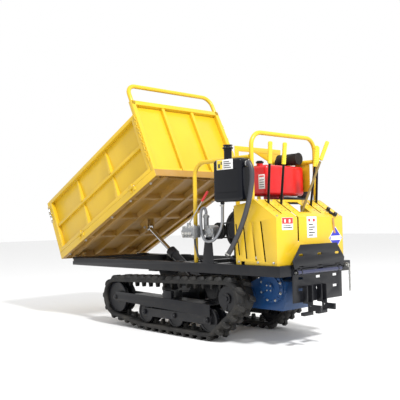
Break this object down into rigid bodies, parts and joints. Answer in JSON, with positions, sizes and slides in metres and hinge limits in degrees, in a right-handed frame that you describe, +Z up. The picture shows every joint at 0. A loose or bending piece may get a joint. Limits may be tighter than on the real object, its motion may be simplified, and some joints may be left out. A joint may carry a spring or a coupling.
{
  "type": "tracked power barrow",
  "caption": "Walk-behind tracked power barrow with a hydraulically tipped drop-side bed, engine, lever console and rubber crawler tracks.",
  "frame": {"origin": "centre of the part's outline on the ground, under the resting pose with the bed tipped", "axes": "+X towards the console end, +Y to the driver's right, away from the hydraulic tank, +Z up"},
  "size_m": [2.9744, 1.037, 2.0513],
  "materials": {
    "yellow_paint": "gloss enamel",
    "black_paint": "satin enamel",
    "track_rubber": "dusty moulded rubber",
    "blue_paint": "gloss enamel over castings",
    "red_paint": "gloss enamel",
    "engine_iron": "oily casting",
    "cast_alloy": "sand cast",
    "black_plastic": "moulded",
    "hose_rubber": "braided",
    "zinc_steel": "plated",
    "chromed_rod": "polished",
    "lever_steel": "satin, with plastic grips"
  },
  "bodies": {
    "chassis": {"chassis_frame": "black_paint", "pivot_pins": "zinc_steel", "undercarriage_frame": "black_paint", "track_beam_l": "black_paint", "track_beam_r": "black_paint", "track_belt_l": "track_rubber", "track_belt_r": "track_rubber", "roller_axles": "black_paint", "gearbox_housing": "blue_paint", "gearbox_cover": "blue_paint", "engine_block": "engine_iron", "fuel_tank": "red_paint", "air_filter": "black_plastic", "muffler": "engine_iron", "drive_belts": "hose_rubber", "hydraulic_pump": "cast_alloy", "control_valve": "cast_alloy", "hydraulic_tank": "black_plastic", "suction_hose": "hose_rubber", "return_hose": "hose_rubber", "cylinder_hoses": "hose_rubber", "guard_left": "yellow_paint", "guard_rear": "yellow_paint", "engine_shield": "yellow_paint", "console_hood": "yellow_paint", "rear_plate": "black_paint", "lock_pin_chain": "zinc_steel"},
    "bed": {"bed_frame": "yellow_paint", "headboard": "yellow_paint", "headboard_guard": "yellow_paint", "bed_chains": "yellow_paint", "hinge_pins": "zinc_steel"},
    "barrel": {"cylinder_barrel": "black_paint"},
    "rod": {"cylinder_rod": "chromed_rod"},
    "side_board_l": {"side_board_l": "yellow_paint"},
    "side_board_r": {"side_board_r": "yellow_paint"},
    "tailgate": {"tailgate": "yellow_paint"},
    "sprocket_l": {"sprocket_l": "black_paint"},
    "sprocket_r": {"sprocket_r": "black_paint"},
    "idler_l": {"idler_l": "black_paint"},
    "idler_r": {"idler_r": "black_paint"},
    "roller_l1": {"roller_l1": "black_paint"},
    "roller_l2": {"roller_l2": "black_paint"},
    "roller_l3": {"roller_l3": "black_paint"},
    "roller_r1": {"roller_r1": "black_paint"},
    "roller_r2": {"roller_r2": "black_paint"},
    "roller_r3": {"roller_r3": "black_paint"},
    "flywheel": {"flywheel": "engine_iron"},
    "pump_pulley": {"pump_pulley": "engine_iron"},
    "input_pulley": {"input_pulley": "engine_iron"},
    "steer_lever_l": {"steer_lever_l": "lever_steel"},
    "steer_lever_r": {"steer_lever_r": "lever_steel"},
    "clutch_lever": {"clutch_lever": "lever_steel"},
    "brake_lever": {"brake_lever": "lever_steel"},
    "gear_lever": {"gear_lever": "lever_steel"},
    "valve_lever": {"valve_lever": "zinc_steel"},
    "footboard": {"footboard": "black_paint"},
    "throttle_lever": {"throttle_lever": "black_plastic"},
    "tank_cap": {"tank_cap": "black_plastic"},
    "fuel_cap": {"fuel_cap": "red_paint"}
  },
  "joints": [
    {"name": "bed_tip", "type": "hinge", "parent": "chassis", "child": "bed", "pos_m": [-1.17481, 0, 0.5405], "axis": [0, -1, 0], "range_deg": [-25.7, 4.3]},
    {"name": "ram_swing", "type": "hinge", "parent": "chassis", "child": "barrel", "pos_m": [0.16119, 0, 0.375], "axis": [0, 1, 0], "range_deg": [-19.33, 3.65]},
    {"name": "ram_slide", "type": "slide", "parent": "barrel", "child": "rod", "axis": [-0.8246, 0, 0.5656], "range_m": [-0.2102, 0.0368]},
    {"name": "side_board_r_drop", "type": "hinge", "parent": "bed", "child": "side_board_r", "pos_m": [-0.53162, 0.5095, 0.95658], "axis": [-0.9011, 0, -0.4337], "range_deg": [0, 90]},
    {"name": "side_board_l_drop", "type": "hinge", "parent": "bed", "child": "side_board_l", "pos_m": [-0.53162, -0.5095, 0.95658], "axis": [0.9011, 0, 0.4337], "range_deg": [0, 90]},
    {"name": "tailgate_drop", "type": "hinge", "parent": "bed", "child": "tailgate", "pos_m": [-1.26104, 0, 0.60554], "axis": [0, -1, 0], "range_deg": [0, 90]},
    {"name": "sprocket_r_spin", "type": "hinge", "parent": "chassis", "child": "sprocket_r", "pos_m": [0.87219, 0.34, 0.323], "axis": [0, 1, 0], "continuous": true},
    {"name": "idler_r_spin", "type": "hinge", "parent": "chassis", "child": "idler_r", "pos_m": [-0.47981, 0.34, 0.242], "axis": [0, 1, 0], "continuous": true},
    {"name": "roller_r1_spin", "type": "hinge", "parent": "chassis", "child": "roller_r1", "pos_m": [0.66419, 0.34, 0.15], "axis": [0, 1, 0], "continuous": true},
    {"name": "roller_r2_spin", "type": "hinge", "parent": "chassis", "child": "roller_r2", "pos_m": [0.29119, 0.34, 0.15], "axis": [0, 1, 0], "continuous": true},
    {"name": "roller_r3_spin", "type": "hinge", "parent": "chassis", "child": "roller_r3", "pos_m": [-0.08181, 0.34, 0.15], "axis": [0, 1, 0], "continuous": true},
    {"name": "sprocket_l_spin", "type": "hinge", "parent": "chassis", "child": "sprocket_l", "pos_m": [0.87219, -0.34, 0.323], "axis": [0, 1, 0], "continuous": true},
    {"name": "idler_l_spin", "type": "hinge", "parent": "chassis", "child": "idler_l", "pos_m": [-0.47981, -0.34, 0.242], "axis": [0, 1, 0], "continuous": true},
    {"name": "roller_l1_spin", "type": "hinge", "parent": "chassis", "child": "roller_l1", "pos_m": [0.66419, -0.34, 0.15], "axis": [0, 1, 0], "continuous": true},
    {"name": "roller_l2_spin", "type": "hinge", "parent": "chassis", "child": "roller_l2", "pos_m": [0.29119, -0.34, 0.15], "axis": [0, 1, 0], "continuous": true},
    {"name": "roller_l3_spin", "type": "hinge", "parent": "chassis", "child": "roller_l3", "pos_m": [-0.08181, -0.34, 0.15], "axis": [0, 1, 0], "continuous": true},
    {"name": "flywheel_spin", "type": "hinge", "parent": "chassis", "child": "flywheel", "pos_m": [0.87119, 0, 0.815], "axis": [0, 1, 0], "continuous": true},
    {"name": "pump_pulley_spin", "type": "hinge", "parent": "chassis", "child": "pump_pulley", "pos_m": [0.69619, -0.3, 0.807], "axis": [0, 1, 0], "continuous": true},
    {"name": "input_pulley_spin", "type": "hinge", "parent": "chassis", "child": "input_pulley", "pos_m": [1.08119, 0.214, 0.43], "axis": [0, 1, 0], "continuous": true},
    {"name": "steer_lever_l_swing", "type": "hinge", "parent": "chassis", "child": "steer_lever_l", "pos_m": [1.14119, -0.27, 0.622], "axis": [0, 1, 0], "range_deg": [-3.9, 15.2]},
    {"name": "clutch_lever_swing", "type": "hinge", "parent": "chassis", "child": "clutch_lever", "pos_m": [1.14119, -0.147, 0.622], "axis": [0, 1, 0], "range_deg": [-6, 13.1]},
    {"name": "brake_lever_swing", "type": "hinge", "parent": "chassis", "child": "brake_lever", "pos_m": [1.14119, 0.177, 0.622], "axis": [0, 1, 0], "range_deg": [-8.4, 1]},
    {"name": "steer_lever_r_swing", "type": "hinge", "parent": "chassis", "child": "steer_lever_r", "pos_m": [1.14119, 0.289, 0.622], "axis": [0, 1, 0], "range_deg": [-3, 12.5]},
    {"name": "gear_lever_shift", "type": "hinge", "parent": "chassis", "child": "gear_lever", "pos_m": [1.18319, -0.1, 0.64], "axis": [0, 1, 0], "range_deg": [-1.5, 4]},
    {"name": "valve_lever_swing", "type": "hinge", "parent": "chassis", "child": "valve_lever", "pos_m": [0.51619, -0.433, 0.862], "axis": [0, 1, 0], "range_deg": [-18, 18]},
    {"name": "footboard_fold", "type": "hinge", "parent": "chassis", "child": "footboard", "pos_m": [1.39419, 0, 0.52], "axis": [0, 1, 0], "range_deg": [0, 90]},
    {"name": "throttle_turn", "type": "hinge", "parent": "chassis", "child": "throttle_lever", "pos_m": [1.29519, 0.283, 0.9171], "axis": [0.545, 0, 0.8384], "range_deg": [-35, 35]},
    {"name": "tank_cap_lift", "type": "slide", "parent": "chassis", "child": "tank_cap", "axis": [0, 0, 1], "range_m": [0, 0.06]},
    {"name": "fuel_cap_lift", "type": "slide", "parent": "chassis", "child": "fuel_cap", "axis": [0, 0, 1], "range_m": [0, 0.05]}
  ],
  "couplings": [
    {"joint": "ram_swing", "follows": "bed_tip", "ratio": 0.7325},
    {"joint": "ram_slide", "follows": "bed_tip", "m_per_rad": 0.4641},
    {"joint": "idler_r_spin", "follows": "sprocket_r_spin", "ratio": 0.75188},
    {"joint": "roller_r1_spin", "follows": "sprocket_r_spin", "ratio": 1.0753},
    {"joint": "roller_r2_spin", "follows": "sprocket_r_spin", "ratio": 1.0753},
    {"joint": "roller_r3_spin", "follows": "sprocket_r_spin", "ratio": 1.0753},
    {"joint": "idler_l_spin", "follows": "sprocket_l_spin", "ratio": 0.75188},
    {"joint": "roller_l1_spin", "follows": "sprocket_l_spin", "ratio": 1.0753},
    {"joint": "roller_l2_spin", "follows": "sprocket_l_spin", "ratio": 1.0753},
    {"joint": "roller_l3_spin", "follows": "sprocket_l_spin", "ratio": 1.0753},
    {"joint": "pump_pulley_spin", "follows": "flywheel_spin", "ratio": 1.1071},
    {"joint": "input_pulley_spin", "follows": "flywheel_spin", "ratio": 1}
  ]
}
